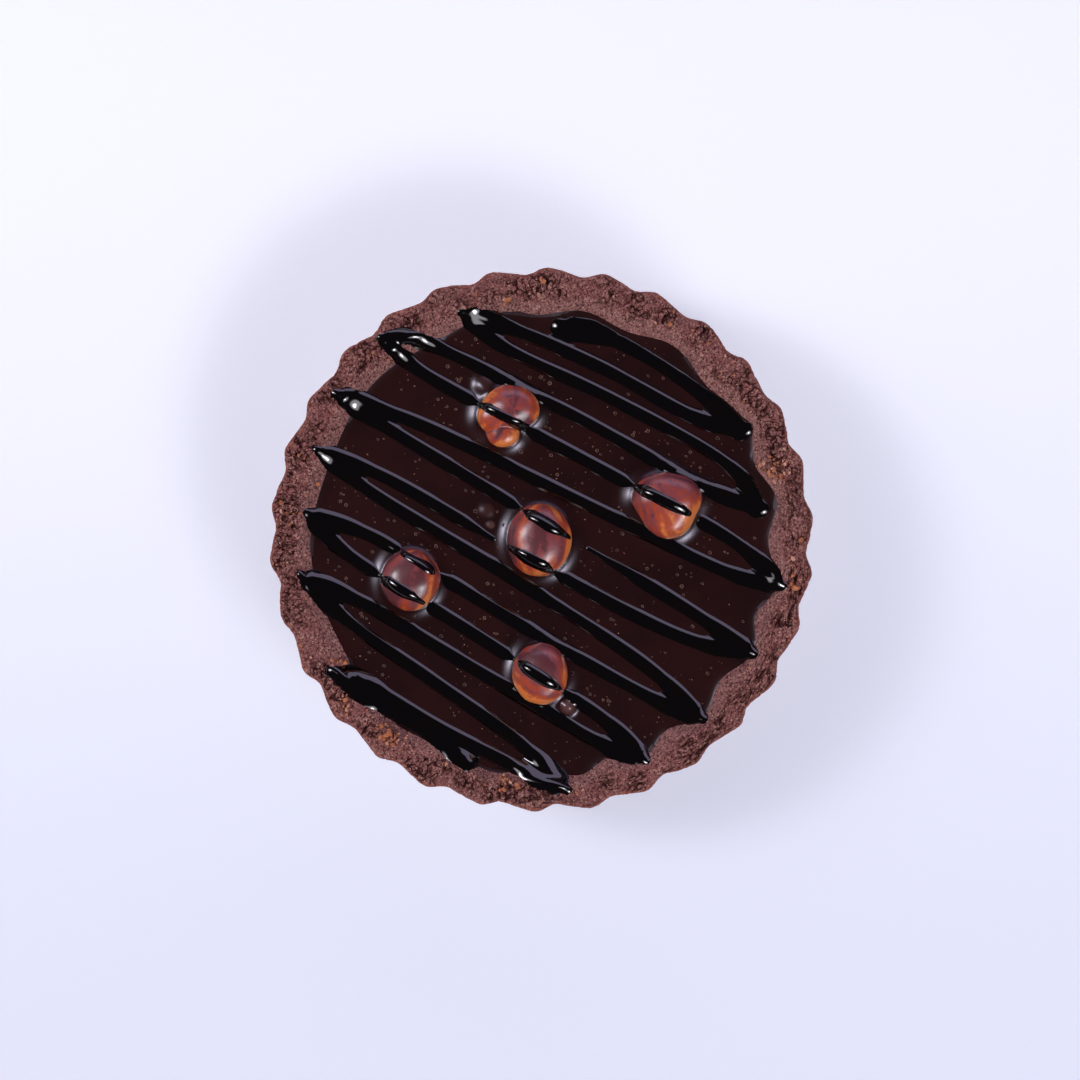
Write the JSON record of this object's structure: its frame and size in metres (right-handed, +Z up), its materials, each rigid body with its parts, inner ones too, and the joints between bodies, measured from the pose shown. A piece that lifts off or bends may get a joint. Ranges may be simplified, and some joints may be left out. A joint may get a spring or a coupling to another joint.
{
  "type": "chocolate tart",
  "caption": "Round fluted cocoa pastry tart filled with dark ganache, topped with glazed hazelnuts and a zigzag line of thick black glaze.",
  "frame": {"origin": "middle of the flat base", "axes": "+Z up from the base to the filling, +Y away from the viewer along the tart, +X to the right"},
  "size_m": [0.1022, 0.1023, 0.0284],
  "materials": {
    "cocoa_pastry": "matt, rough and crumbly baked cocoa pastry",
    "dark_ganache": "smooth, satin to glossy, with tiny bubbles",
    "glazed_hazelnut": "red-brown nut skin under a clear wet glaze"
  },
  "bodies": {
    "root": {"crust": "cocoa_pastry", "ganache": "dark_ganache", "hazelnut_1": "glazed_hazelnut", "hazelnut_2": "glazed_hazelnut", "hazelnut_3": "glazed_hazelnut", "hazelnut_4": "glazed_hazelnut", "hazelnut_5": "glazed_hazelnut"}
  },
  "joints": []
}
